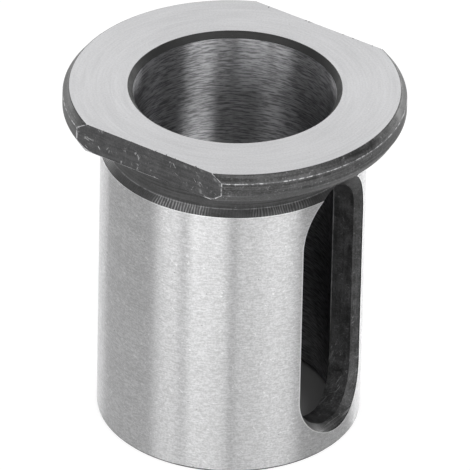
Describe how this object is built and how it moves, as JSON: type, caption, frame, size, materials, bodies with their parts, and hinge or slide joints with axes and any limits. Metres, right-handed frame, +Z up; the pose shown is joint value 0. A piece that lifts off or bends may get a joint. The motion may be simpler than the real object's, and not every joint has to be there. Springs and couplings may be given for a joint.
{
  "type": "flanged reduction sleeve",
  "caption": "Flanged steel reduction sleeve with a straight bore, a clamp slot through its wall and flats on its flange, for holding a straight tool shank.",
  "frame": {"origin": "centre of the foot, where the sleeve stands", "axes": "+Z up the sleeve's axis to the flange, +X out through the slot, +Y and -Y out of the flange's two flats"},
  "size_m": [0.0322, 0.0276, 0.035],
  "materials": {
    "steel": "ground bright on the shank, in the bore and on the top face, black oxide everywhere else"
  },
  "bodies": {
    "root": {"sleeve": "steel"}
  },
  "joints": []
}
